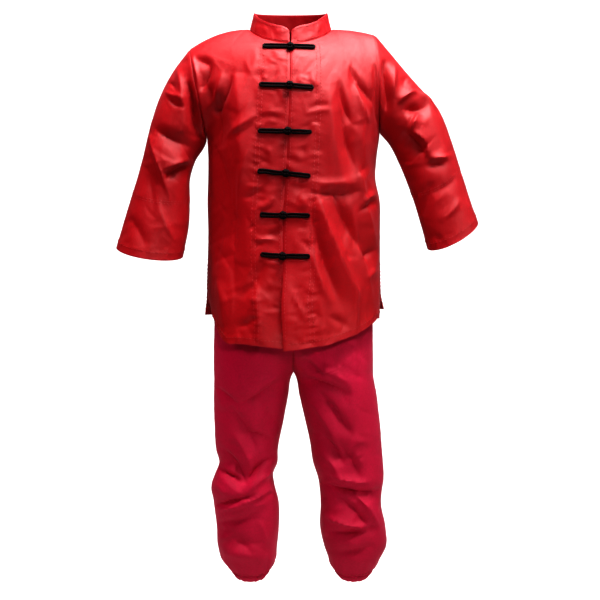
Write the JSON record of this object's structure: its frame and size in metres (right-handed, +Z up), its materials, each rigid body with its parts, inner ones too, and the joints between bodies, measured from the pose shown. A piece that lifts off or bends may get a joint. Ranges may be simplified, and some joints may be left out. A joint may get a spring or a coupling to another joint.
{
  "type": "tai chi uniform",
  "caption": "Child's tai chi uniform: a hip-length jacket with a stand collar and knotted frog fastenings, over loose trousers with an elastic waist and ankles.",
  "frame": {"origin": "middle of the neck opening, at the height where the collar meets the shoulder seams", "axes": "+Z up the body, -Y the way the wearer faces, +X to the wearer's left"},
  "size_m": [0.625, 0.2266, 0.9996],
  "materials": {
    "jacket_cloth": "smooth twill with a slight sheen",
    "trouser_cloth": "matt plain weave",
    "black_cord": "matt twisted cord"
  },
  "bodies": {
    "root": {"jacket_front_right": "jacket_cloth", "jacket_front_left": "jacket_cloth", "jacket_back": "jacket_cloth", "sleeve_right": "jacket_cloth", "sleeve_left": "jacket_cloth", "collar": "jacket_cloth", "trouser_right_front": "trouser_cloth", "trouser_right_back": "trouser_cloth", "trouser_left_front": "trouser_cloth", "trouser_left_back": "trouser_cloth", "ankle_cuff_right": "trouser_cloth", "ankle_cuff_left": "trouser_cloth", "waistband": "trouser_cloth", "frog_1_knot": "black_cord", "frog_1_loop": "black_cord", "frog_2_knot": "black_cord", "frog_2_loop": "black_cord", "frog_3_knot": "black_cord", "frog_3_loop": "black_cord", "frog_4_knot": "black_cord", "frog_4_loop": "black_cord", "frog_5_knot": "black_cord", "frog_5_loop": "black_cord", "frog_6_knot": "black_cord", "frog_6_loop": "black_cord"}
  },
  "joints": []
}
